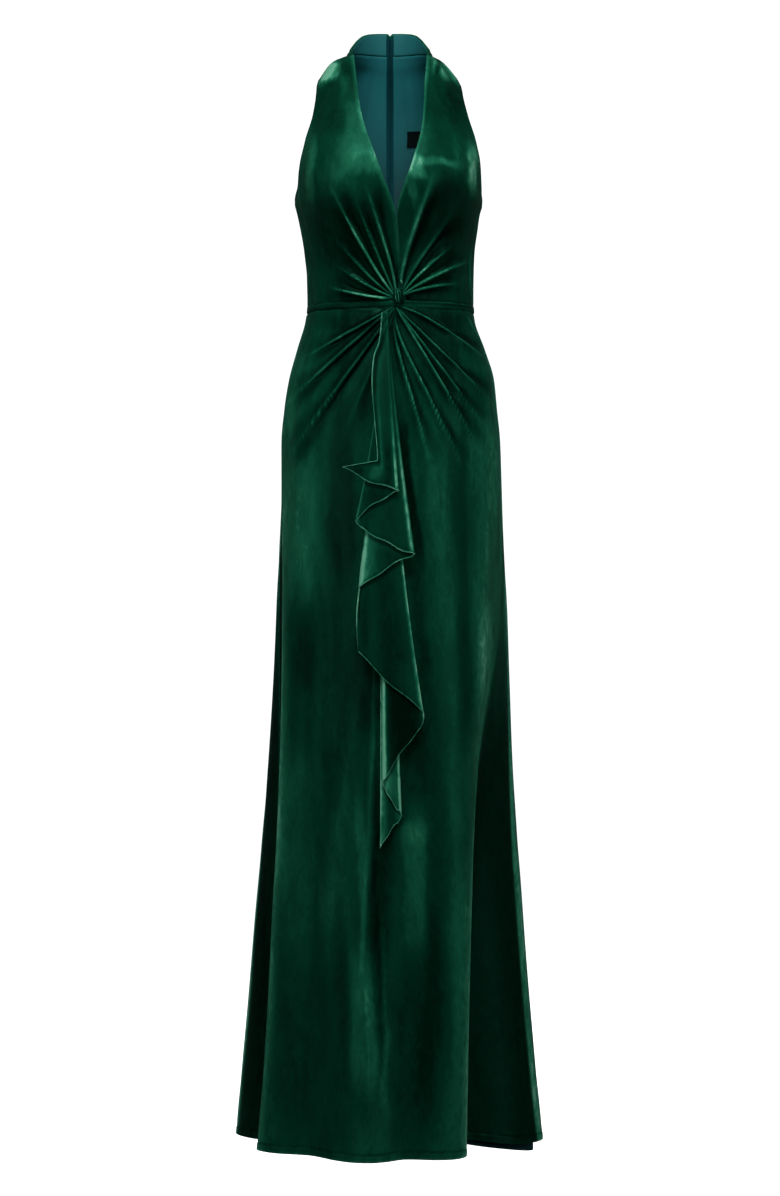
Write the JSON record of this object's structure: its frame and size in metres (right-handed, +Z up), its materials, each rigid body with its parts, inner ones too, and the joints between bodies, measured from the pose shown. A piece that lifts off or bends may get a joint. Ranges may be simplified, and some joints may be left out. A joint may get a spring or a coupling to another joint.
{
  "type": "evening gown",
  "caption": "Floor-length velvet halter evening gown, filled out as worn, with a plunging neckline, gathers drawn to a front twist, a cascading ruffle and a back zip.",
  "frame": {"origin": "the nape: the middle of the back of the neck, on the inner face of the neckband at the seamline of the wearer's neck", "axes": "+Z up along the wearer, front of the gown towards -Y, the wearer's left towards +X"},
  "size_m": [0.4267, 0.3217, 1.5537],
  "materials": {
    "velvet": "stretch velvet with a short pile, dark emerald green",
    "satin": "smooth woven lining, dark teal",
    "tape": "woven zip tape, dark teal",
    "label": "plain woven label, black",
    "enamel": "enamelled, green"
  },
  "bodies": {
    "gown": {"bodice_front_left": "velvet", "bodice_front_right": "velvet", "bodice_back_left": "velvet", "bodice_back_right": "velvet", "neckband_left": "velvet", "neckband_right": "velvet", "waistband_front_left": "velvet", "waistband_front_right": "velvet", "waistband_back_left": "velvet", "waistband_back_right": "velvet", "front_twist": "velvet", "skirt_front": "velvet", "skirt_back_left": "velvet", "skirt_back_right": "velvet", "front_cascade": "velvet", "back_lining_left": "satin", "back_lining_right": "satin", "neck_facing_left": "satin", "neck_facing_right": "satin", "skirt_lining": "satin", "zip_tape_left": "tape", "zip_tape_right": "tape", "neck_label": "label", "zip_slider": "enamel"},
    "pull_tab": {"zip_pull": "enamel"}
  },
  "joints": [
    {"name": "pull_swing", "type": "hinge", "parent": "gown", "child": "pull_tab", "pos_m": [0, 0.00737, 0.005], "axis": [1, 0, 0], "range_deg": [0, 165]}
  ]
}
